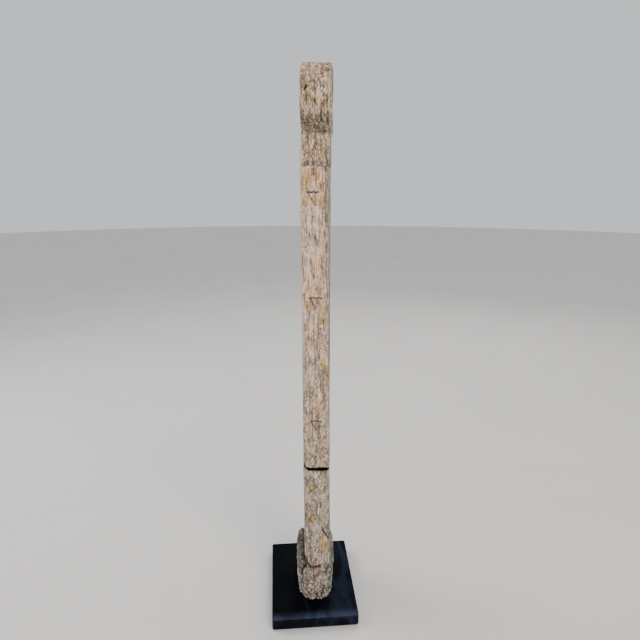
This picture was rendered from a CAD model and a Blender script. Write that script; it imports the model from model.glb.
"""The looks of a weathered carved post figure that stands on a black painted base.

Blender 4.5, metres, +Z up, in the same frame as the CAD part. The carving is worked out in
millimetres, in the figure's own untwisted axes: x through the plank, y along its width, and h up
from the base's top face. The photographed narrow edge faces -Y and the broad front face +X.
"""

import math

import bmesh
import bpy
import numpy as np
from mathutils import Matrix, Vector, noise


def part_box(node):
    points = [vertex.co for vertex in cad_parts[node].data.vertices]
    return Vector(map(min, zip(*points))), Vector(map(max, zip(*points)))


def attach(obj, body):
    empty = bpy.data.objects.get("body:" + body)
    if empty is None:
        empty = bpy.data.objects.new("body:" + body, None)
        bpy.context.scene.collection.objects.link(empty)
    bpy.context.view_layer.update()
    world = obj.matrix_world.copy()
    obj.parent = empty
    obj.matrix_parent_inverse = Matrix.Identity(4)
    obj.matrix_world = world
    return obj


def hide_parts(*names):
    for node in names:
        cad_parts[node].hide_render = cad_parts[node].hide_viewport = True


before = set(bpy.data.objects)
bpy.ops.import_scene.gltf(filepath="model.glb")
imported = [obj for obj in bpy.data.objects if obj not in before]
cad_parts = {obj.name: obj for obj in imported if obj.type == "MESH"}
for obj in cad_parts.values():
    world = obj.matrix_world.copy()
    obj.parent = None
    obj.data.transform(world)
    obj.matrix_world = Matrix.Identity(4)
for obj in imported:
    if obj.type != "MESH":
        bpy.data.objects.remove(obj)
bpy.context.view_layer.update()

# ---- Sizes, in millimetres ----

MM = 0.001
BASE_LOW, BASE_HIGH = (np.array(corner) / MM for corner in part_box("display_base"))
FIGURE_LOW, FIGURE_HIGH = (np.array(corner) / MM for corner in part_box("carved_figure"))
BASE_TOP = BASE_HIGH[2]
FIGURE_HEIGHT = FIGURE_HIGH[2] - BASE_TOP

FOOT_HEIGHT = 68
WAIST_HEIGHT = 259
SHOULDER = 758
NECK_TOP = 806
HEAD_RADIUS = 54
HEAD_CENTRE = FIGURE_HEIGHT - HEAD_RADIUS
HEAD_THICKNESS = 22.7
PLANK_WIDTH = 55
NECK_WIDTH = 27
PLANK_X = 9.9
FOOT_X = -4
HEAD_X = 1.5
TURN_AT_FOOT = 3.0
TURN_AT_HEAD = 9.3
SCREW_X = PLANK_X + FOOT_X
SCREW_Y = 25
COUNTERBORE = {"radius": 10, "depth": 8}
CLEARANCE_RADIUS = 3.6
OVERRUN = 5

# Stations up the figure: height, half thickness, half width to the right (-Y) and left (+Y),
# offset of the middle, and how square the section is at its right and left ends.
FOOT_STATIONS = [
    (0, 30.5, 59.5, 59.5, FOOT_X, 3.2, 6),
    (6, 31.5, 60.5, 60.5, FOOT_X, 3.0, 6),
    (22, 32.8, 60.5, 61.0, FOOT_X, 2.8, 6),
    (50, 33.0, 58.5, 61.0, FOOT_X, 2.7, 6),
    (62, 33.0, 57.0, 60.0, FOOT_X, 2.8, 6),
    (66, 32.0, 56.0, 59.0, FOOT_X, 3.0, 6),
    (68, 31.0, 55.5, 58.0, FOOT_X, 3.2, 6),
    (69, 24.0, 55.3, 56.0, FOOT_X / 4, 7.0, 8),
    (72, 22.8, 55.3, 55.3, 0, 10, 10),
]
PLANK_STATIONS = [
    (WAIST_HEIGHT, 22.4, 55.3, 55.3, 0, 11, 11),
    (SHOULDER - 3, 21.2, 55.3, 55.3, 0, 11, 11),
    (SHOULDER, 20.8, 53.5, 53.5, 0, 10, 10),
    (SHOULDER + 1.5, 22.3, NECK_WIDTH + 2, NECK_WIDTH + 2, 0, 9, 9),
    (SHOULDER + 5, 23.0, NECK_WIDTH, NECK_WIDTH, 0, 9, 9),
    (NECK_TOP, 23.0, NECK_WIDTH, NECK_WIDTH, 0, 9, 9),
]

ROW_STEP = 1.9
EDGE_COLUMNS, FRONT_COLUMNS, BACK_COLUMNS = 19, 32, 20
NARROW_SHARE = 0.28  # of the way from the middle of a narrow edge to the middle of a broad face


# ---- The figure's skin ----

def head_stations():
    """The head is a disc on its edge, so its half width follows a circle."""
    start = -math.acos(NECK_WIDTH / HEAD_RADIUS)
    stations = []
    for angle in np.linspace(start, math.radians(88), 90)[1:]:
        width = HEAD_RADIUS * math.cos(angle)
        crown = np.clip((angle - math.radians(50)) / math.radians(40), 0, 1) ** 2
        thickness = HEAD_THICKNESS - 3.5 * crown
        height = HEAD_CENTRE + HEAD_RADIUS * math.sin(angle)
        stations.append((height, thickness, width, width, HEAD_X, 9, 9))
    return stations


def rows_up_the_figure():
    """The stations, filled in at equal steps along the figure's outline."""
    table = np.array(FOOT_STATIONS + PLANK_STATIONS + head_stations(), float)
    outline = table[:, [0, 1, 2]]
    steps = np.linalg.norm(np.diff(outline, axis=0), axis=1)
    along = np.concatenate([[0], np.cumsum(steps)])
    count = int(along[-1] / ROW_STEP)
    at = np.linspace(0, along[-1], count)
    return np.stack([np.interp(at, along, table[:, k]) for k in range(table.shape[1])], axis=1)


def quarter(thickness, width, squareness, columns):
    """A quarter of a superellipse from (0, width) to (thickness, 0), at even steps between its
    columns: the first so many lie along the narrow edge, and the rest along the broad face."""
    reach = np.linspace(0, 2 ** (-1 / squareness), 40)
    rest = (1 - reach**squareness) ** (1 / squareness)
    x = np.concatenate([reach, rest[::-1]]) * thickness
    y = np.concatenate([rest, reach[::-1]]) * width
    along = np.concatenate([[0], np.cumsum(np.hypot(np.diff(x), np.diff(y)))])
    on_edge, on_face = columns
    turn = along[-1] * NARROW_SHARE
    at = np.concatenate([
        np.linspace(0, turn, on_edge, endpoint=False),
        np.linspace(turn, along[-1], on_face, endpoint=False),
    ])
    return np.interp(at, along, x), np.interp(at, along, y)


def ring(row):
    """One section of the figure, from the middle of its right edge and round by the front face."""
    _, thickness, right, left, offset, square_right, square_left = row
    sides = [
        (right, square_right, FRONT_COLUMNS, 1, -1, False),
        (left, square_left, FRONT_COLUMNS, 1, 1, True),
        (left, square_left, BACK_COLUMNS, -1, 1, False),
        (right, square_right, BACK_COLUMNS, -1, -1, True),
    ]
    points = []
    for width, squareness, face_columns, sign_x, sign_y, backwards in sides:
        x, y = quarter(thickness, width, squareness, (EDGE_COLUMNS, face_columns))
        corner = np.stack([sign_x * x, sign_y * y], axis=1)
        if backwards:
            end = np.array([[sign_x * thickness, 0.0]])
            corner = np.concatenate([corner[1:], end])[::-1]
        points.append(corner)
    flat = np.concatenate(points)
    flat[:, 0] += offset
    return flat


def plain_skin():
    """The figure's smooth skin in its own axes, as an array of rows of rings of points."""
    rows = rows_up_the_figure()
    skin = np.zeros((len(rows), len(ring(rows[0])), 3))
    for i, row in enumerate(rows):
        skin[i, :, :2] = ring(row)
        skin[i, :, 2] = row[0]
    x, y, h = skin[..., 0], skin[..., 1], skin[..., 2]
    flare = 8.5 * (1 - smoothstep(66, 96, h)) * smoothstep(67, 70, h)
    skin[..., 0] += flare * smoothstep(4, 20, x) * smoothstep(52, 20, y)
    corner = 2.6 * (1 - smoothstep(66, 82, h)) * smoothstep(69, 72, h)
    skin[..., 0] += corner * smoothstep(-6, -20, x) * smoothstep(-30, -50, y)
    return skin


def skin_normals(skin):
    """Outward directions over the skin, smoothed a little at its ledges."""
    around = np.roll(skin, -1, axis=1) - np.roll(skin, 1, axis=1)
    up = np.gradient(skin, axis=0)
    normals = np.cross(around, up)
    for _ in range(2):
        normals /= np.linalg.norm(normals, axis=2, keepdims=True) + 1e-9
        padded = np.concatenate([normals[:1], normals, normals[-1:]])
        normals = padded[:-2] + 2 * padded[1:-1] + padded[2:]
        normals = np.roll(normals, 1, axis=1) + 2 * normals + np.roll(normals, -1, axis=1)
    return normals / (np.linalg.norm(normals, axis=2, keepdims=True) + 1e-9)


def turn_at(height):
    share = height / FIGURE_HEIGHT
    return -np.radians(TURN_AT_FOOT + (TURN_AT_HEAD - TURN_AT_FOOT) * share)


def to_frame(points):
    """From the figure's own axes to the part's frame, both in millimetres: the plank's warp."""
    x, y, h = points.T
    c, s = np.cos(turn_at(h)), np.sin(turn_at(h))
    return np.stack([c * x - s * y + PLANK_X, s * x + c * y, h + BASE_TOP], axis=1)


def to_figure(points):
    """From the part's frame back to the figure's own axes."""
    x, y, z = points.T
    h = z - BASE_TOP
    c, s = np.cos(turn_at(h)), np.sin(turn_at(h))
    return np.stack([c * (x - PLANK_X) + s * y, -s * (x - PLANK_X) + c * y, h], axis=1)


# ---- Noise ----

def smoothstep(low, high, value):
    share = np.clip((value - low) / (high - low), 0, 1)
    return share * share * (3 - 2 * share)


def rough(points, size, shift=0.0):
    """Smooth noise from -1 to 1 over points, with features of a size given in millimetres."""
    scaled = points / np.array(size) + shift
    return np.array([noise.noise(Vector(p)) for p in scaled])


def cells(points, size, shift=0.0):
    """How far points lie from the borders of rounded cells: 0 on a border, about 1 in the middle."""
    scaled = points / np.array(size) + shift
    distances = np.array([noise.voronoi(Vector(p))[0][:2] for p in scaled])
    return np.clip((distances[:, 1] - distances[:, 0]) * 1.6, 0, 1)


# ---- Carving ----

def groove(u, v, path, half):
    """1 along a path of places, falling to 0 over a half width."""
    nearest = np.full(len(u), np.inf)
    for a, b in zip(np.array(path[:-1], float), np.array(path[1:], float)):
        run = b - a
        along = np.clip(((u - a[0]) * run[0] + (v - a[1]) * run[1]) / np.dot(run, run), 0, 1)
        nearest = np.minimum(nearest, np.hypot(u - a[0] - along * run[0], v - a[1] - along * run[1]))
    return np.exp(-((nearest / half) ** 2))


def triangle_pit(u, v, width, height, depth, deepest=(0.0, -0.33)):
    """Depth of a three-sided chip whose top edge lies on v = 0 and whose point hangs below it, and 1
    along its rim. The deepest point is given in shares of the width and the height."""
    corners = np.array([(-width / 2, 0), (width / 2, 0), (0, -height)])
    bottom = np.array([deepest[0] * width, deepest[1] * height])
    share = np.full(len(u), np.inf)
    for a, b in zip(corners, np.roll(corners, -1, axis=0)):
        normal = np.array([(b - a)[1], -(b - a)[0]])
        distance = (u - a[0]) * normal[0] + (v - a[1]) * normal[1]
        share = np.minimum(share, distance / np.dot(bottom - a, normal))
    return depth * np.clip(share, 0, 1) ** 0.8, np.exp(-(((share - 0.1) / 0.16) ** 2))


# Chips down a narrow edge: height of the top edge, its middle across, width, height, and shift of
# the point.
EDGE_CHIPS = [(721.5, -1.8, 18.2, 18, 2.0), (559.5, 1.4, 20.6, 18, -0.4), (349, 0.2, 19, 17, 0.0)]
EDGE_CHIP_DEPTH = 5.0
BORDER = {"first": 312, "last": 724, "pitch": 34.3, "inset": 9, "width": 30, "height": 17}
LOZENGES = {"first": 346, "last": 690, "pitch": 86, "gap": 3, "width": 26, "height": 24}
FACE_CHIP_DEPTH = 4.8


def edge_carving(x, h):
    """Depth of the three chips down a narrow edge, and how dark the dirt lies along their cut lines."""
    depth, dirt = np.zeros(len(x)), np.zeros(len(x))
    for top, middle, width, height, lean in EDGE_CHIPS:
        v = h - top + 0.6 * np.sin(x * 0.8 + top)
        u = x - middle + lean * v / height
        pit, _ = triangle_pit(u, v, width, height, EDGE_CHIP_DEPTH, (-0.18, -0.16))
        depth = np.maximum(depth, pit)
        left, right, point = (-width / 2 + 0.5, -0.8), (width / 2 - 0.5, -0.8), (0, -height)
        lines = ((left, right, 1.2), (left, point, 1.0), (right, point, 0.35))
        for start, end, strength in lines:
            dirt = np.maximum(dirt, strength * groove(u, v, [start, end], 1.4))
    return depth, dirt


def face_carving(y, h):
    """The broad front face: a border of chips down each side, and lozenges down the middle."""
    pits = []
    across = PLANK_WIDTH - BORDER["inset"]
    for top in np.arange(BORDER["first"], BORDER["last"] + 1, BORDER["pitch"]):
        for side in (-1, 1):
            size = BORDER["width"], BORDER["height"], FACE_CHIP_DEPTH
            pits.append(triangle_pit(h - top, side * y - across, *size))
    for middle in np.arange(LOZENGES["first"], LOZENGES["last"] + 1, LOZENGES["pitch"]):
        for side in (-1, 1):
            below = side * (h - middle) - LOZENGES["gap"] / 2
            size = LOZENGES["width"], LOZENGES["height"], FACE_CHIP_DEPTH
            pits.append(triangle_pit(y, -below, *size))
    return np.max([depth for depth, _ in pits], axis=0), np.max([rim for _, rim in pits], axis=0)


def bump_at(u, v, centre, size):
    """A rounded mound of height 1, with its foot on an oval of the given half sizes."""
    distance = np.hypot((u - centre[0]) / size[0], (v - centre[1]) / size[1])
    return 1 - smoothstep(0.0, 1.0, distance)


# The face: radii of the ring around it and of its own edge, and where its features lie, measured
# from the head's centre.
FACE = {"ring": 46, "edge": 43.5, "eye_across": 17, "mouth": -28, "chin": -38}


def calm_face(u, v):
    """A plain face with closed eyes, in low relief inside a ring: heights over the head's flat face.
    The eyes lie half way up the head, and the nose, mouth and chin at even steps below them."""
    radius = np.hypot(u, v)
    side = np.abs(u)
    from_eye = side - FACE["eye_across"]
    from_mouth = v - FACE["mouth"]
    ring_groove = -1.8 * np.exp(-(((radius - FACE["ring"]) / 1.5) ** 2))
    sunk = -4.0 * (1 - smoothstep(37, 43, radius))
    nose_half = 3.2 + 4.2 * smoothstep(8, -17, v)
    nose_end = smoothstep(-20.5, -16.5, v) * (1 - smoothstep(10, 16, v))
    nose = (3.6 + 2.2 * smoothstep(6, -16, v)) * nose_end
    nose = nose * (1 - smoothstep(0.5, 1.25, side / nose_half))
    brow_line = 12 - 0.016 * (side - 15) ** 2
    brow = 3.4 * np.exp(-(((v - brow_line) / 3.2) ** 2)) * (1 - smoothstep(25, 33, side))
    forehead = 3.2 * smoothstep(brow_line - 1, brow_line + 6, v) * (1 - smoothstep(34, 42, radius))
    lid = 3.0 * np.sqrt(np.clip(1 - (from_eye / 9.5) ** 2 - (v / 5.2) ** 2, 0, 1))
    lash_line = 0.02 * from_eye**2 - 2.6
    lashes = -1.6 * np.exp(-(((v - lash_line) / 0.8) ** 2)) * (np.abs(from_eye) < 9)
    cheek = 2.0 * bump_at(side, v, (23, -14), (13, 13))
    lips = 2.6 * np.clip(1 - (u / 12.5) ** 2, 0, 1) * np.exp(-((from_mouth / 3.6) ** 2))
    parting = -2.0 * np.exp(-((from_mouth / 0.8) ** 2)) * (side < 12)
    chin = 2.2 * bump_at(u, v, (0, FACE["chin"]), (12, 7))
    relief = sunk + np.maximum.reduce([nose, brow, forehead, lid, cheek, lips, chin])
    rim = smoothstep(FACE["ring"] + 0.5, FACE["ring"] + 3, radius)
    return np.where(radius < FACE["edge"], relief + lashes + parting, 0) + ring_groove + rim


CRACKS = [
    # side (+1 front face, -1 back face, 0 right edge), across, low, high, depth, half width
    (1, -18, 84, 240, 2.6, 0.9),
    (1, 24, 430, 690, 1.8, 0.7),
    (-1, 12, 90, 420, 3.0, 1.1),
    (-1, -26, 500, 740, 2.2, 0.8),
    (0, -14.5, 430, 480, 1.2, 0.6),
    (0, 13.5, 590, 668, 1.0, 0.5),
]


def crack_depth(points, facing):
    """Long drying cracks that wander along the grain and close at their ends."""
    x, y, h = points.T
    depth = np.zeros(len(h))
    for side, across, low, high, deepest, half in CRACKS:
        place = np.where(side == 0, x, y) - across - 1.6 * np.sin(h / 23 + across) - 0.5 * np.sin(h / 7)
        ends = smoothstep(low, low + 30, h) * (1 - smoothstep(high - 30, high, h))
        on_side = facing["edge_right"] if side == 0 else facing["front"] if side > 0 else facing["back"]
        depth = np.maximum(depth, deepest * ends * on_side * np.exp(-((place / half) ** 2)))
    return depth


def facings(normals):
    """How much each point faces each way, from 0 to 1."""
    nx, ny, nz = normals.T
    return {
        "front": smoothstep(0.55, 0.85, nx),
        "back": smoothstep(0.55, 0.85, -nx),
        "edge": smoothstep(0.55, 0.85, np.abs(ny)),
        "edge_right": smoothstep(0.55, 0.85, -ny),
        "up": smoothstep(0.45, 0.8, nz),
    }


def weathering(points, facing):
    """Height lost or gained by age, in millimetres: grain, worn cells low down, and the lumpy foot."""
    x, y, h = points.T
    on_foot = 1 - smoothstep(60, 76, h)
    on_head = smoothstep(NECK_TOP - 3, NECK_TOP + 8, h)
    worn = 0.18 + 0.82 * (1 - smoothstep(255, 470, h)) * (1 - 0.3 * on_foot) + 0.35 * on_head
    broad = np.maximum(facing["front"], facing["back"])
    waves = 0.7 * rough(points, (38, 38, 110)) + 0.4 * rough(points, (15, 15, 42), 3.1)
    streaks = rough(points, (2.5, 2.5, 38), 7.3)
    fine = rough(points, (1.6, 1.6, 17), 11.9)
    grain = -0.75 * smoothstep(0.08, 0.5, streaks) + 0.22 * fine
    swirl = points + 5.0 * np.stack([rough(points, (17, 17, 21), k + 0.5) for k in range(3)], axis=1)
    scale_cells = cells(swirl, (4.6, 4.6, 9.5), 2.7)
    scales = -0.95 * (1 - smoothstep(0.02, 0.42, scale_cells)) * worn * (1 - 0.6 * broad)
    lumps = 1.5 * rough(points, (15, 15, 12), 5.5) + 0.9 * rough(points, (6.5, 6.5, 6), 9.1)
    pits = -2.6 * (1 - smoothstep(0.03, 0.4, cells(swirl, (6.2, 6.2, 7.2), 8.8)))
    pits = pits * (0.3 + 0.7 * (1 - smoothstep(14, 40, h)))
    tiny = 0.3 * rough(points, (2.2, 2.2, 2.6), 4.4)
    return waves + grain * (1 - 0.5 * on_foot) + scales + on_foot * (lumps + pits + tiny) + 0.35


def edge_wear(points, normals):
    """The long corners, rubbed and chipped here and there."""
    nx, ny = np.abs(normals[:, 0]), np.abs(normals[:, 1])
    corner = smoothstep(0.25, 0.5, np.minimum(nx, ny))
    wear = 0.5 + 1.6 * smoothstep(0.1, 0.6, rough(points, (9, 9, 16), 6.6))
    return -corner * wear * (1 - 0.6 * smoothstep(SHOULDER, NECK_TOP, points[:, 2]))


# Cracks and holes in the right edge: places (across, height) along each, its half width and its
# depth.
HEAD_MARKS = [
    ([(-11, 870), (-13, 865)], 1.7, 7.0),
    ([(19, 905), (21, 890)], 1.6, 1.6),
    ([(11, 836), (10, 829), (10, 821)], 1.5, 3.2),
    ([(-10, 853), (-11, 849)], 1.5, 2.4),
    ([(1, 851), (2, 847), (4, 844)], 1.5, 2.6),
    ([(7, 884), (8, 876), (10, 868)], 1.0, 1.5),
    ([(-1, 868), (3, 866), (9, 861)], 1.0, 1.5),
    ([(-11, 803), (-7, 792), (-2, 779)], 1.1, 2.2),
    ([(1, 775), (5, 771)], 1.3, 2.2),
    ([(-16, 792), (-14, 768)], 1.1, 1.6),
    ([(-3, 800), (1, 783)], 1.0, 1.3),
]
FOOT_MARKS = [
    ([(8, 146), (9, 141)], 2.0, 2.6),
    ([(9, 140), (12, 135), (19, 126), (22, 118)], 1.7, 3.2),
    ([(-21, 82), (-19, 72), (-16, 67), (-9, 62), (-5, 64), (5, 65)], 2.0, 5.0),
    ([(-25, 64), (-27, 59), (-30, 49), (-32, 38)], 2.0, 5.5),
    ([(21, 56), (18, 48)], 2.3, 6.5),
    ([(-7, 65), (-7, 47), (-8, 26)], 1.3, 1.9),
    ([(23, 13), (24, 6)], 2.0, 3.0),
    ([(7, 28), (12, 25), (9, 18)], 1.5, 2.4),
    ([(8, 11), (7, 5)], 2.0, 3.4),
    ([(-2, 10), (-1, 5)], 1.8, 3.0),
    ([(-16, 12), (-14, 6)], 1.8, 3.0),
]


def slanting_cracks(count, lowest, highest, lean):
    """Short cracks that slant over a narrow edge, dealt out at random but the same each time."""
    deal = np.random.default_rng(12)
    cracks = []
    for _ in range(count):
        x, h = deal.uniform(-19, 16), deal.uniform(lowest, highest)
        length, slant, bend = deal.uniform(7, 18), deal.uniform(-lean, lean), deal.uniform(-1.6, 1.6)
        middle = (x + slant * length / 2 + bend, h - length / 2)
        cracks.append(([(x, h), middle, (x + slant * length, h - length)], 0.9, deal.uniform(0.8, 2.0)))
    return cracks


def edge_marks(points, facing):
    """Depth of the cracks and holes in the narrow edges, and how dark they are."""
    x, y, h = points.T
    depth, dark = np.zeros(len(x)), np.zeros(len(x))
    across = x + 0.5 * np.sin(h * 0.7)
    right_only = smoothstep(-25, -45, y)
    both = facing["edge"]
    slanting = slanting_cracks(40, NECK_TOP + 6, FIGURE_HEIGHT - 3, 0.9)
    slanting += slanting_cracks(18, SHOULDER + 14, NECK_TOP + 4, 0.5)
    slanting += slanting_cracks(40, WAIST_HEIGHT + 20, SHOULDER - 4, 0.25)
    for marks, reach in ((HEAD_MARKS + FOOT_MARKS, right_only), (slanting, both)):
        for path, half, deepest in marks:
            mark = groove(across, h, path, half) * reach * (1 - 0.6 * facing["up"])
            depth = np.maximum(depth, deepest * mark)
            dark = np.maximum(dark, mark * min(1.2, deepest / 3))
    return depth, dark


SIDE_GAP_X = -24.0
SIDE_GAP_DEPTH = 4.2


def plank_side_gap(points):
    """The deep crease between the plank's left-hand side and the top of the foot beside it."""
    x, y, h = points.T
    middle = SIDE_GAP_X + 2.4 * smoothstep(-30, -50, y)
    beside = 1 - smoothstep(1.0, 3.4, np.abs(x - middle))
    return beside * smoothstep(52, 65, h) * (1 - smoothstep(71, 76, h)) * smoothstep(-58, -52, y)


def corner_line(points):
    """How far across a narrow edge its worn front corner begins. It's widest at the top."""
    h = points[:, 2]
    wander = 1.1 * rough(points, (40, 40, 11), 17.0) + 0.5 * np.sin(h / 3.1)
    on_head = smoothstep(NECK_TOP - 10, NECK_TOP + 8, h)
    widening = 4.2 * smoothstep(380, 700, h) - 2.2 * on_head
    return 20.8 - widening + wander * smoothstep(330, 480, h) * (1 - 0.6 * on_head)


def blurred(values, shape, passes=9):
    """Values smoothed over their neighbours on the skin."""
    grid = values.reshape(shape)
    for _ in range(passes):
        grid = (np.roll(grid, 1, axis=1) + 2 * grid + np.roll(grid, -1, axis=1)) / 4
        padded = np.concatenate([grid[:1], grid, grid[-1:]])
        grid = (padded[:-2] + 2 * padded[1:-1] + padded[2:]) / 4
    return grid.reshape(-1)


def carved_skin():
    """The finished skin in the figure's axes, and what its material reads about its relief."""
    skin = plain_skin()
    shape = skin.shape[:2]
    points, normals = skin.reshape(-1, 3), skin_normals(skin).reshape(-1, 3)
    facing = facings(normals)
    x, y, h = points.T
    chips, chip_dirt = edge_carving(x, h)
    on_edge = facing["edge"] * (np.abs(y) > 45)
    on_plank = (x > 10) & (np.abs(y) < 52) & (h < SHOULDER - 4)
    pits, rims = face_carving(y, h)
    on_plank = on_plank * facing["front"]
    carving = chips * on_edge + pits * on_plank
    on_head = (x > 12) & (h > NECK_TOP - 2)
    face = np.where(on_head, calm_face(y, h - HEAD_CENTRE) * facing["front"], 0)
    marks, mark_dirt = edge_marks(points, facing)
    gap = plank_side_gap(points)
    age = weathering(points, facing) * (1 - 0.45 * (face != 0)) + edge_wear(points, normals)
    age = age - 1.2 * smoothstep(-0.5, 1.5, x - corner_line(points)) * facing["edge"]
    cracks = crack_depth(points, facing)
    moved = age - marks - SIDE_GAP_DEPTH * gap - cracks - carving + face
    lowest = np.repeat(np.arange(shape[0]) == 0, shape[1])
    direction = normals.copy()
    direction[lowest, 2] = 0
    carved = points + direction * moved[:, None]
    carved[:, 2] = np.clip(carved[:, 2], 0, FIGURE_HEIGHT)
    carved[lowest, 2] = 0
    fine = age - blurred(age, shape)
    form = (face - carving) * facing["front"]
    raised = form - blurred(form, shape, 40)
    corner = 1 - smoothstep(0.4, 1.9, np.abs(x - corner_line(points)))
    corner = corner * (np.abs(y) > 15) * (1 - facing["front"]) * smoothstep(330, 480, h)
    corner = corner * smoothstep(-0.25, 0.2, rough(points, (6, 6, 22), 14.2))
    hollows = 0.85 * smoothstep(-0.25, -1.5, fine) * (1 - 0.45 * facing["front"])
    dirt = [
        hollows, chip_dirt * on_edge, 0.45 * rims * on_plank, 0.7 * smoothstep(-0.3, -1.7, raised),
        mark_dirt, 0.8 * corner, gap, np.clip(cracks / 1.8, 0, 1),
    ]
    crest = np.maximum(smoothstep(0.2, 0.9, fine), 0.9 * smoothstep(0.4, 1.5, raised))
    relief = {"dark": np.maximum.reduce(dirt), "crest": crest}
    return carved, relief, shape


def mesh_object(name, vertices, faces):
    mesh = bpy.data.meshes.new(name)
    mesh.from_pydata(vertices.tolist(), [], faces)
    mesh.update()
    obj = bpy.data.objects.new(name, mesh)
    bpy.context.scene.collection.objects.link(obj)
    return obj


def store(obj, name, values):
    attribute = obj.data.attributes.new(name, "FLOAT", "POINT")
    attribute.data.foreach_set("value", np.asarray(values, np.float32))


def ring_faces(rows, columns):
    """Quads between neighbouring rings, and one face across each end."""
    grid = np.arange(rows * columns).reshape(rows, columns)
    beside = np.roll(grid, -1, axis=1)
    quads = np.stack([grid[:-1], beside[:-1], beside[1:], grid[1:]], axis=-1)
    return quads.reshape(-1, 4).tolist() + [grid[0, ::-1].tolist(), grid[-1].tolist()]


# The waist cut: how far its cutter starts outside the plank's edge and runs in past there, half its
# length across the plank, and half its height where it's widest.
WAIST_CUT = {"outside": 14, "run": 36, "half_length": 34, "half_height": 4.1}


def waist_cutter(side):
    """A knife cut across a narrow edge: level over most of its length, and rising at the back."""
    columns = 46
    along_x = np.linspace(-WAIST_CUT["half_length"], WAIST_CUT["half_length"], columns)
    into = np.linspace(0, 1, 14)
    rows = []
    for share in into:
        y = side * (PLANK_WIDTH + WAIST_CUT["outside"] - WAIST_CUT["run"] * share)
        narrowing = math.sqrt(max(0.02, 1 - max(0, (share - 0.55) / 0.45) ** 2))
        left_end = smoothstep(-13, -22, along_x)
        middle = WAIST_HEIGHT + 4.5 * left_end
        gap = WAIST_CUT["half_height"] - 2.1 * left_end + 0.5 * np.sin(along_x / 5)
        gap = gap * narrowing
        ragged_top = np.array([noise.noise(Vector((x / 4, y / 5, side))) for x in along_x])
        ragged_bottom = np.array([noise.noise(Vector((x / 3, y / 5, side + 9))) for x in along_x])
        top = middle + gap + 0.6 * ragged_top
        bottom = middle - gap + 0.8 * ragged_bottom
        outline = np.concatenate([
            np.stack([along_x, np.full(columns, y), bottom], axis=1),
            np.stack([along_x, np.full(columns, y), top], axis=1)[::-1],
        ])
        rows.append(outline)
    points = np.concatenate(rows)
    faces = ring_faces(len(into), 2 * columns)
    cutter = mesh_object("waist_cutter", to_frame(points) * MM, faces)
    tidy = bmesh.new()
    tidy.from_mesh(cutter.data)
    bmesh.ops.recalc_face_normals(tidy, faces=tidy.faces)
    tidy.to_mesh(cutter.data)
    tidy.free()
    return cutter


def apply_cut(obj, cutter):
    modifier = obj.modifiers.new("cut", "BOOLEAN")
    modifier.operation = "DIFFERENCE"
    modifier.solver = "EXACT"
    modifier.object = cutter
    with bpy.context.temp_override(object=obj, active_object=obj):
        bpy.ops.object.modifier_apply(modifier=modifier.name)
    bpy.data.objects.remove(cutter)


# ---- Stains on the wood ----

# Each stain: place across the right edge, height, half width and half height, in millimetres.
LICHEN = [(12, 452, 4.5, 5), (-12, 225, 4.5, 5), (-13, 165, 4, 5), (8, 118, 5, 8)]
OCHRE = [
    (-9, 896, 7, 4), (-15, 881, 6, 4), (-7, 858, 4, 11), (3, 849, 5, 7), (-14, 779, 3.5, 13),
    (9, 782, 3, 12), (8, 770, 3, 6), (-12, 742, 11, 18), (-15, 706, 6, 8), (9, 707, 9, 9),
    (5, 608, 5, 9), (-10, 571, 5, 7), (12, 544, 5, 6), (-11, 546, 6, 9), (9, 527, 4, 12),
    (11, 487, 6, 7), (-14, 408, 4, 7), (-14, 326, 6, 9), (8, 307, 5, 14), (-13, 290, 5, 7),
    (-13, 272, 7, 7), (14, 272, 5, 6), (-11, 161, 4, 7), (12, 110, 5, 8),
]
RUST = [
    (13, 896, 7, 5), (15, 843, 5, 9), (7, 743, 4, 8), (11, 732, 5, 7), (14, 597, 5, 10), (6, 571, 6, 9),
    (9, 520, 3, 7), (17, 427, 5, 11), (2, 369, 5, 13), (2, 340, 4, 6),
]
PALE = [
    (13, 878, 5, 6), (4, 868, 3, 6), (-2, 861, 4, 7), (12, 862, 4, 7), (-4, 792, 4, 9), (8, 690, 4, 10),
    (-7, 676, 4, 16), (-5, 650, 4, 18), (-3, 622, 4, 14), (15, 600, 3, 14), (-9, 596, 3, 14),
    (16, 574, 3, 12), (-6, 470, 4, 12), (6, 400, 3, 14), (-2, 318, 5, 9), (0, 249, 6, 8),
]
WHITE_SPECKS = [(10, 800, 2, 3.5), (11, 768, 1.7, 2), (7, 785, 1.4, 2)]


def stain_field(points, facing, stains):
    """1 in the middle of a stain, falling to 0 at its border and below 0 outside it."""
    x, _, h = points.T
    field = np.full(len(h), -1.0)
    for across, height, half_width, half_height in stains:
        distance = np.hypot((x - across) / half_width, (h - height) / half_height)
        field = np.maximum(field, 1 - distance)
    return np.where(facing > 0.4, field, -1.0)


def scattered_field(points, size, shift):
    """Stains that nobody placed, for the faces that the single ones don't reach. The foot has none."""
    return rough(points, size, shift) * 2.2 - 1.15 - 2 * (1 - smoothstep(76, 120, points[:, 2]))


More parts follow.
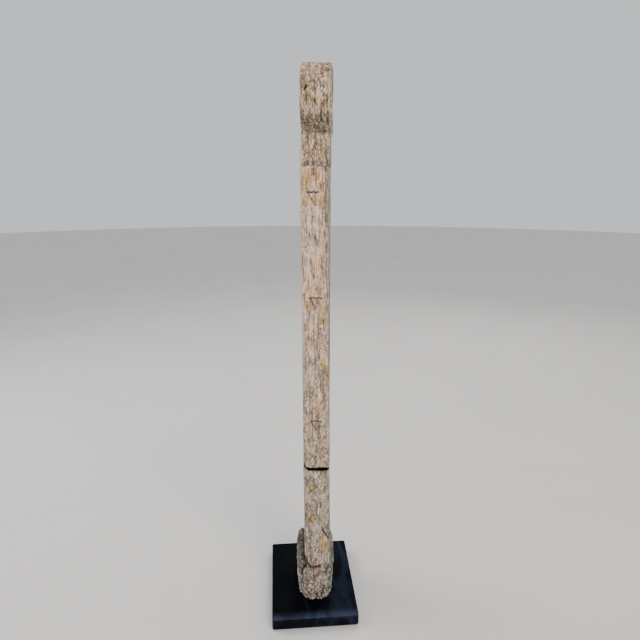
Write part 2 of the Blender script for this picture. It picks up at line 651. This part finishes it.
def store_marks(obj):
    """Writes what the wood's material reads: how each point faces, and its stains."""
    mesh = obj.data
    flat = np.zeros(len(mesh.vertices) * 3)
    mesh.vertices.foreach_get("co", flat)
    points = to_figure(flat.reshape(-1, 3) / MM)
    x, y, h = points.T
    width = np.select(
        [h < FOOT_HEIGHT, h < SHOULDER, h < NECK_TOP],
        [60.0, PLANK_WIDTH, NECK_WIDTH],
        np.sqrt(np.clip(HEAD_RADIUS**2 - (h - HEAD_CENTRE) ** 2, 1, None)),
    )
    right = smoothstep(9, 4, width + y)
    either = smoothstep(9, 4, width - np.abs(y)) * smoothstep(0.7, -0.7, x - corner_line(points))
    elsewhere = 1 - right
    store(obj, "narrow_edge", either)
    store(obj, "lichen", np.maximum(
        stain_field(points, right, LICHEN),
        scattered_field(points, (8, 8, 9), 21.3) * 1.5 - 1.1 - right,
    ))
    store(obj, "ochre", np.maximum(
        stain_field(points, right, OCHRE),
        np.where(elsewhere > 0.5, scattered_field(points, (17, 17, 32), 31.7), -1),
    ))
    store(obj, "rust", np.maximum(
        stain_field(points, right, RUST),
        np.where(elsewhere > 0.5, scattered_field(points, (13, 13, 24), 41.9) - 0.15, -1),
    ))
    store(obj, "pale", stain_field(points, right, PALE))
    store(obj, "white", stain_field(points, right, WHITE_SPECKS))
    ledge = smoothstep(54, 61, h) * (1 - smoothstep(70, 74, h)) * (x < -21.0)
    shoulder = smoothstep(SHOULDER - 2, SHOULDER, h) * (1 - smoothstep(SHOULDER + 4, SHOULDER + 14, h))
    under_head = smoothstep(NECK_TOP - 3, NECK_TOP + 2, h)
    under_head = under_head * (1 - smoothstep(NECK_TOP + 10, NECK_TOP + 58, h))
    foot_right = 0.2 * smoothstep(2, 14, x) * (1 - smoothstep(52, 66, h))
    foot_side = 1.3 * (0.35 + 0.65 * smoothstep(10, -40, y)) * smoothstep(15, 25, x)
    foot_side = foot_side * smoothstep(-58, -49, y) * (1 - smoothstep(80, 125, h))
    grime = 1.6 * ledge + 0.95 * shoulder + 0.76 * under_head + foot_side + foot_right
    store(obj, "grime", np.clip(grime, 0, 1.6))
    film = smoothstep(2, 20, x) * (1 - smoothstep(56, 120, h)) * smoothstep(30, -50, y)
    store(obj, "film", np.maximum(film, 0.6 * smoothstep(-14, -26, x) * (1 - smoothstep(50, 70, h))))
    low = 1 - 0.6 * smoothstep(262, 560, h)
    on_neck = smoothstep(SHOULDER, SHOULDER + 8, h)
    on_head = smoothstep(NECK_TOP - 4, NECK_TOP + 6, h)
    store(obj, "worn", np.maximum(low, 0.65 * on_neck + 0.3 * on_head))
    darken_cuts(mesh, points)


def darken_cuts(mesh, points):
    """The faces inside the waist cuts are in deep shadow and dirt."""
    x, y, h = points.T
    within = (np.abs(x) / 22.4) ** 9 + (np.abs(y) / PLANK_WIDTH) ** 9 < 0.62
    inside = within & (np.abs(h - WAIST_HEIGHT - 1.5) < 7)
    dark = np.zeros(len(h), np.float32)
    mesh.attributes["dark"].data.foreach_get("value", dark)
    dark[inside] = 1.6
    mesh.attributes["dark"].data.foreach_set("value", dark)


# ---- Materials ----

def colour(code):
    """A linear colour, with alpha, from an sRGB code such as "a08c70"."""
    parts = [int(code[i:i + 2], 16) / 255 for i in (0, 2, 4)]
    return tuple(p / 12.92 if p < 0.04045 else ((p + 0.055) / 1.055) ** 2.4 for p in parts) + (1,)


class Nodes:
    """A short way to write a material's nodes: each method returns the socket it makes."""

    def __init__(self, name):
        self.material = bpy.data.materials.new(name)
        self.material.use_nodes = True
        self.tree = self.material.node_tree
        self.shader = self.tree.nodes["Principled BSDF"]
        self.place = self.add("ShaderNodeTexCoord").outputs["Object"]

    def add(self, kind, inputs=(), **settings):
        node = self.tree.nodes.new(kind)
        for key, value in settings.items():
            setattr(node, key, value)
        for key, value in dict(inputs).items():
            self.put(node.inputs[key], value)
        return node

    def put(self, socket, value):
        if isinstance(value, bpy.types.NodeSocket):
            self.tree.links.new(value, socket)
        else:
            socket.default_value = value

    def scaled(self, scale, place=None):
        inputs = {"Vector": place or self.place, "Scale": scale}
        return self.add("ShaderNodeMapping", inputs).outputs["Vector"]

    def noise(self, scale, stretch=(1, 1, 1), detail=4.0, roughness=0.55, warp=0.0, place=None):
        inputs = {
            "Vector": self.scaled(stretch, place), "Scale": scale, "Detail": detail,
            "Roughness": roughness, "Distortion": warp,
        }
        return self.add("ShaderNodeTexNoise", inputs).outputs["Fac"]

    def cells(self, scale, stretch=(1, 1, 1), feature="F1", place=None):
        inputs = {"Vector": self.scaled(stretch, place), "Scale": scale}
        return self.add("ShaderNodeTexVoronoi", inputs, feature=feature).outputs["Distance"]

    def vector(self, operation, a, b):
        return self.add("ShaderNodeVectorMath", {0: a, 1: b}, operation=operation).outputs["Vector"]

    def warped(self, scale, amount):
        """The place on the object, pushed about by noise so that what is drawn there wanders."""
        inputs = {"Vector": self.place, "Scale": scale, "Detail": 3.0}
        swirl = self.add("ShaderNodeTexNoise", inputs).outputs["Color"]
        push = self.vector("MULTIPLY", self.vector("SUBTRACT", swirl, (0.5, 0.5, 0.5)), (amount,) * 3)
        return self.vector("ADD", self.place, push)

    def lines(self, value, width):
        """1 along the middle level of a noise, as thin wandering lines, and 0 beside them."""
        away = self.math("ABSOLUTE", self.math("SUBTRACT", value, 0.5))
        return self.ease(away, width, 0.0)

    def ramp(self, value, *stops):
        """A colour or a number read from stops of (position, code or number)."""
        node = self.add("ShaderNodeValToRGB", {"Fac": value})
        elements = node.color_ramp.elements
        while len(elements) < len(stops):
            elements.new(0.5)
        for element, (position, shade) in zip(elements, stops):
            element.position = position
            element.color = colour(shade) if isinstance(shade, str) else (shade, shade, shade, 1)
        return node.outputs["Color"]

    def attribute(self, name):
        return self.add("ShaderNodeAttribute", attribute_name=name).outputs["Fac"]

    def math(self, operation, a, b=0.0, clamp=False):
        inputs = {0: a, 1: b}
        return self.add("ShaderNodeMath", inputs, operation=operation, use_clamp=clamp).outputs[0]

    def ease(self, value, low, high, to_low=0.0, to_high=1.0):
        """A number carried smoothly from one range to another."""
        inputs = {"Value": value, "From Min": low, "From Max": high, "To Min": to_low, "To Max": to_high}
        node = self.add("ShaderNodeMapRange", inputs, interpolation_type="SMOOTHSTEP")
        return node.outputs["Result"]

    def mix(self, share, a, b, blend="MIX"):
        node = self.add("ShaderNodeMix", data_type="RGBA", blend_type=blend)
        for index, value in ((0, share), (6, a), (7, b)):
            self.put(node.inputs[index], colour(value) if isinstance(value, str) else value)
        return node.outputs[2]

    def bump(self, height, strength, distance, onto=None):
        inputs = {"Height": height, "Strength": strength, "Distance": distance}
        if onto is not None:
            inputs["Normal"] = onto
        return self.add("ShaderNodeBump", inputs).outputs["Normal"]

    def finish(self, **sockets):
        for name, value in sockets.items():
            self.put(self.shader.inputs[name.replace("_", " ")], value)
        return self.material


def weathered_wood():
    """Bare old wood: tones that change up the figure, streaks and flecks of the grain, films and
    stains, and dark cracks and hollows with rubbed crests between them."""
    n = Nodes("weathered_wood")
    height = n.add("ShaderNodeSeparateXYZ", {"Vector": n.place}).outputs["Z"]
    level = n.math("DIVIDE", n.math("SUBTRACT", height, BASE_TOP * MM), FIGURE_HEIGHT * MM)
    worn = n.attribute("worn")
    edge_tone = n.ramp(
        level, (0.0, "8b836f"), (0.065, "948a77"), (0.09, "b9ab98"), (0.28, "bbac99"), (0.32, "cfbaa6"),
        (0.50, "dabfaa"), (0.62, "f0cdb5"), (0.83, "f0cdaf"), (0.86, "f5d6b1"), (0.88, "dcc3a3"),
        (0.935, "ecceaf"),
    )
    broad_tone = n.ramp(n.noise(9, (1, 1, 0.35)), (0.3, "827f6d"), (0.5, "928f7e"), (0.7, "a5a08f"))
    broad_tone = n.mix(n.ease(level, 0.86, 0.9, 0, 0.8), broad_tone, "b3a380")
    tone = n.mix(n.attribute("narrow_edge"), broad_tone, edge_tone)

    patches = n.noise(38, (1, 1, 0.4), 3)
    tone = n.mix(n.ease(patches, 0.5, 0.72, 0, 0.5), tone, "dba88e")
    tone = n.mix(n.ease(patches, 0.48, 0.28, 0, 0.4), tone, "a8a396")
    ragged = n.math("MULTIPLY", n.math("SUBTRACT", n.noise(230, (1, 1, 0.45), 6, 0.75), 0.5), 4.2)
    grime = n.math("ADD", n.attribute("grime"), n.math("MULTIPLY", ragged, 0.45))
    tone = n.mix(n.ease(grime, 0.15, 0.95, 0, 0.9), tone, "625b4b")

    wander = n.warped(70, 0.010)
    plates = n.add("ShaderNodeTexVoronoi", {"Vector": n.scaled((1, 1, 0.36), wander), "Scale": 190.0})
    plate_tone = plates.outputs["Color"]
    tone = n.mix(n.math("MULTIPLY", n.ease(plate_tone, 0.42, 0.12, 0, 0.6), worn), tone, "87786a")
    tone = n.mix(n.ease(plate_tone, 0.6, 0.9, 0, 0.55), tone, "e9dac8")

    streaks = n.noise(330, (1, 1, 0.11), 5, 0.66, 0.5)
    streak_share = n.ease(level, 0.4, 0.62, 0.55, 1)
    tone = n.mix(n.math("MULTIPLY", n.ease(streaks, 0.51, 0.36, 0, 0.88), streak_share), tone, "684f3b")
    tone = n.mix(n.math("MULTIPLY", n.ease(streaks, 0.54, 0.7, 0, 0.7), streak_share), tone, "f8dcc2")
    flecks = n.noise(520, (1, 1, 0.5), 3, 0.7, place=n.warped(45, 0.022))
    fleck_share = n.ease(n.attribute("narrow_edge"), 0, 1, 0.5, 1)
    tone = n.mix(n.math("MULTIPLY", n.ease(flecks, 0.48, 0.36, 0, 0.75), fleck_share), tone, "574636")
    tone = n.mix(n.math("MULTIPLY", n.ease(flecks, 0.56, 0.68, 0, 0.7), fleck_share), tone, "fae4cc")
    film = n.math("ADD", n.attribute("film"), n.math("MULTIPLY", ragged, 0.25))
    tone = n.mix(n.ease(film, 0.1, 1.0, 0, 0.8), tone, "62726b")
    tone = n.mix(n.ease(grime, 1.0, 1.4, 0, 0.85), tone, "585a51")

    ochre = n.ramp(level, (0.5, "bf963f"), (0.6, "d6a35c"), (0.8, "d6a35c"), (0.87, "ab8a43"))
    rust = n.ramp(level, (0.5, "c08a44"), (0.8, "ba7c3a"), (0.87, "a87a38"))
    stains = [
        ("pale", "f8e2cd", 0.62), ("ochre", ochre, 0.66), ("rust", rust, 0.7),
        ("lichen", "e6b612", 1.0), ("white", "f8f5ee", 1.0),
    ]
    for name, shade, strength in stains:
        field = n.math("ADD", n.attribute(name), ragged)
        tone = n.mix(n.ease(field, -0.1, 0.7, 0, strength), tone, shade)

    long_cracks = n.lines(n.noise(210, (1, 1, 0.06), 3, 0.5, 0.6), 0.03)
    edges = n.cells(190, (1, 1, 0.36), "DISTANCE_TO_EDGE", wander)
    short_cracks = n.math("MULTIPLY", n.ease(edges, 0.12, 0.02), worn)
    broken = n.ease(n.noise(90, (1, 1, 0.5), 2), 0.4, 0.55)
    cracks = n.math("MULTIPLY", n.math("MAXIMUM", long_cracks, short_cracks), broken)
    tone = n.mix(n.math("MULTIPLY", cracks, 0.8), tone, "43372d")
    tone = n.mix(n.math("MULTIPLY", n.attribute("crest"), 0.45), tone, "ecdcc8")
    dark = n.attribute("dark")
    tone = n.mix(n.ease(dark, 0.1, 0.9, 0, 0.8), tone, "3a2e24")
    tone = n.mix(n.ease(dark, 0.9, 1.3), tone, "060504")

    relief = n.bump(streaks, 0.6, 0.0014)
    relief = n.bump(flecks, 0.5, 0.0010, relief)
    relief = n.bump(n.math("SUBTRACT", 1.0, cracks), 0.7, 0.0012, relief)
    return n.finish(
        Base_Color=tone,
        Roughness=n.ease(flecks, 0.3, 0.7, 0.96, 0.82),
        Specular_IOR_Level=0.2,
        Normal=relief,
    )


def black_paint():
    """Satin paint, rubbed along its edges, dulled along the front end and smudged on the right."""
    n = Nodes("black_paint")
    axes = n.add("ShaderNodeSeparateXYZ", {"Vector": n.place}).outputs
    clouds = n.noise(14, (1, 1, 1), 4)
    tone = n.ramp(clouds, (0.35, "010204"), (0.65, "050810"))
    speckle = n.noise(900, (1, 1, 1), 3, 0.7)
    tone = n.mix(n.ease(speckle, 0.67, 0.76, 0, 0.55), tone, "4a505e")
    ragged = n.math("MULTIPLY", n.math("SUBTRACT", n.noise(160, detail=5), 0.5), 1.6)
    worn = n.math("ADD", n.attribute("wear"), ragged)
    tone = n.mix(n.ease(worn, 0.3, 0.8, 0, 0.9), tone, "4a5670")
    smudge = n.noise(26, (1, 0.35, 1), 4, 0.6, 1.2)
    gloss = n.ease(smudge, 0.35, 0.7, 0.42, 0.68)
    brushed = n.noise(210, (1, 0.06, 1), 3)
    right_side = n.ease(axes["X"], -0.04, 0.04, 0.05, 0.6)
    tone = n.mix(n.math("MULTIPLY", n.ease(smudge, 0.48, 0.68), right_side), tone, "252c3c")
    on_top = n.ease(axes["Z"], (BASE_TOP - 4) * MM, (BASE_TOP - 1) * MM, 0.1, 0.62)
    near_front = n.ease(axes["Y"], -0.082, -0.103)
    dulled = n.math("MULTIPLY", near_front, n.ease(smudge, 0.35, 0.6, 0.45, 1.0))
    tone = n.mix(n.math("MULTIPLY", dulled, on_top), tone, "3c4558")
    relief = n.bump(brushed, 0.12, 0.0006)
    relief = n.bump(n.noise(60, detail=2), 0.35, 0.0016, relief)
    relief = n.bump(speckle, 0.18, 0.0003, relief)
    return n.finish(Base_Color=tone, Roughness=gloss, Specular_IOR_Level=0.03, Normal=relief)


def zinc_steel():
    n = Nodes("zinc_steel")
    spangle = n.cells(420)
    tone = n.ramp(n.noise(300, detail=4), (0.35, "83858a"), (0.65, "b4b6ba"))
    tone = n.mix(n.ease(spangle, 0.2, 0.6, 0, 0.4), tone, "9aa0ac")
    relief = n.bump(n.noise(1500, detail=2), 0.15, 0.0002)
    gloss = n.ease(spangle, 0, 0.7, 0.28, 0.5)
    return n.finish(Base_Color=tone, Metallic=1.0, Roughness=gloss, Normal=relief)


def felt():
    n = Nodes("felt")
    fibres = n.noise(1100, (1, 1, 0.5), 5, 0.75, 1.5)
    tone = n.ramp(fibres, (0.3, "17171a"), (0.7, "3a3a3e"))
    relief = n.bump(fibres, 0.8, 0.0006)
    gloss = n.ease(fibres, 0.3, 0.7, 1.0, 0.9)
    return n.finish(Base_Color=tone, Roughness=gloss, Sheen_Weight=0.35, Normal=relief)


def dress(obj, material):
    obj.data.materials.clear()
    obj.data.materials.append(material)


# ---- Pieces ----

def make_figure(material):
    skin, relief, (rows, columns) = carved_skin()
    figure = mesh_object("carved_figure_wood", to_frame(skin) * MM, ring_faces(rows, columns))
    for name, values in relief.items():
        store(figure, name, values)
    for side in (-1, 1):
        apply_cut(figure, waist_cutter(side))
    store_marks(figure)
    figure.data.shade_smooth()
    figure.data.set_sharp_from_angle(angle=math.radians(62))
    dress(figure, material)
    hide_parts("carved_figure")
    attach(figure, "root")
    return figure


def board_skin():
    """The base board as rings that run out under it, up its sides, and in over its top."""
    half = (BASE_HIGH - BASE_LOW)[:2] / 2
    low, top = BASE_LOW[2], BASE_TOP
    round_off = 1.6
    corner_share, corner_round = 0.035, 0.8
    arc = np.linspace(0, math.pi / 2, 5)
    inset_in = [60, 40, 20, 10, 5, 3]
    path = [(inset, low) for inset in inset_in]
    path += [(round_off * (1 - math.sin(a)), low + round_off * (1 - math.cos(a))) for a in arc]
    path += [(0, z) for z in np.linspace(low + round_off, top - round_off, 10)[1:-1]]
    path += [(round_off * (1 - math.cos(a)), top - round_off * (1 - math.sin(a))) for a in arc]
    path += [(inset, top) for inset in inset_in[::-1]]
    corners = np.array([(-1, -1), (1, -1), (1, 1), (-1, 1)])
    rows = []
    for inset, z in path:
        width, length = half - inset
        sides = []
        for start, end in zip(corners, np.roll(corners, -1, axis=0)):
            share = np.linspace(0, 1, 70, endpoint=False)[:, None]
            sides.append((1 - share) * start + share * end)
        square = np.concatenate(sides)
        corner = np.clip(np.abs(square).min(axis=1) - (1 - corner_share), 0, None) / corner_share
        flat = square * np.array([width, length])
        flat = flat - np.sign(flat) * corner_round * (corner**2)[:, None]
        rows.append(np.column_stack([flat, np.full(len(flat), z)]))
    return np.array(rows)


def make_base(material):
    """The board, its edges a little bruised and its paint rubbed through along them."""
    skin = board_skin()
    rows, columns, _ = skin.shape
    points, normals = skin.reshape(-1, 3), skin_normals(skin).reshape(-1, 3)
    edge = 1 - smoothstep(0.72, 0.93, np.abs(normals).max(axis=1))
    bruise = smoothstep(0.05, 0.55, rough(points, (7, 7, 5), 2.2))
    worn_in = points - normals * (edge * (0.15 + 0.75 * bruise))[:, None]
    wavy = 0.1 * rough(points, (30, 30, 30), 8.0)
    on_side = (points[:, 2] > BASE_LOW[2] + 3) & (points[:, 2] < BASE_TOP - 3)
    worn_in = worn_in + normals * np.where(on_side, wavy, 0)[:, None]
    board = mesh_object("painted_base", worn_in * MM, ring_faces(rows, columns))
    store(board, "wear", edge * (0.6 + 0.5 * bruise))
    for side in (-1, 1):
        counterbore_top = BASE_LOW[2] + COUNTERBORE["depth"]
        holes = ((COUNTERBORE["radius"], counterbore_top), (CLEARANCE_RADIUS, BASE_TOP + OVERRUN))
        for radius, top in holes:
            bpy.ops.mesh.primitive_cylinder_add(
                vertices=48, radius=radius * MM, depth=(top + OVERRUN) * MM,
                location=(SCREW_X * MM, side * SCREW_Y * MM, (top - OVERRUN) / 2 * MM),
            )
            apply_cut(board, bpy.context.object)
    board.data.shade_smooth()
    board.data.set_sharp_from_angle(angle=math.radians(40))
    dress(board, material)
    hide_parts("display_base")
    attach(board, "root")
    return board


# ---- Stage ----

def make_floor():
    bpy.ops.mesh.primitive_circle_add(vertices=96, radius=9, fill_type="NGON")
    floor = bpy.context.object
    floor.name = "floor"
    n = Nodes("floor")
    dress(floor, n.finish(
        Base_Color=n.ramp(n.noise(3, detail=2), (0.3, "d9d6d1"), (0.7, "dddad5")),
        Roughness=0.9,
    ))


def area_light(name, place, target, size, power, shade):
    light = bpy.data.lights.new(name, "AREA")
    light.size = size
    light.energy = power
    light.color = colour(shade)[:3]
    lamp = bpy.data.objects.new(name, light)
    lamp.location = place
    lamp.rotation_euler = (Vector(target) - Vector(place)).to_track_quat("-Z", "Y").to_euler()
    bpy.context.scene.collection.objects.link(lamp)


def make_lights():
    middle = (0, 0, 0.5)
    area_light("key", (0.8, -1.8, 1.7), middle, 1.2, 34, "fff7ee")
    area_light("fill", (-1.6, 0.7, 1.6), middle, 1.0, 24, "f3f5ff")
    area_light("back", (0.9, 1.8, 1.7), middle, 1.6, 14, "ffffff")
    world = bpy.data.worlds.new("studio")
    world.use_nodes = True
    background = world.node_tree.nodes["Background"]
    background.inputs["Color"].default_value = colour("e6e8ec")
    background.inputs["Strength"].default_value = 0.92
    bpy.context.scene.world = world


def make_camera():
    """The view of the narrow edge: from a little under a metre off, looking slightly down."""
    camera = bpy.data.cameras.new("camera")
    camera.sensor_width = 36
    camera.lens = 30.15
    eye = bpy.data.objects.new("camera", camera)
    eye.location = (-0.057, -0.877, 0.7575)
    look_down, look_right = math.radians(14.35), math.radians(4.74)
    eye.rotation_euler = (math.pi / 2 - look_down, 0, -look_right)
    bpy.context.scene.collection.objects.link(eye)
    bpy.context.scene.camera = eye


# ---- The scene ----

make_camera()
make_lights()
make_floor()
make_figure(weathered_wood())
make_base(black_paint())

steel, pad_felt = zinc_steel(), felt()
for name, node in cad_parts.items():
    if name.startswith(("lag_screw", "washer")):
        dress(node, steel)
    if name.startswith("felt_pad"):
        dress(node, pad_felt)
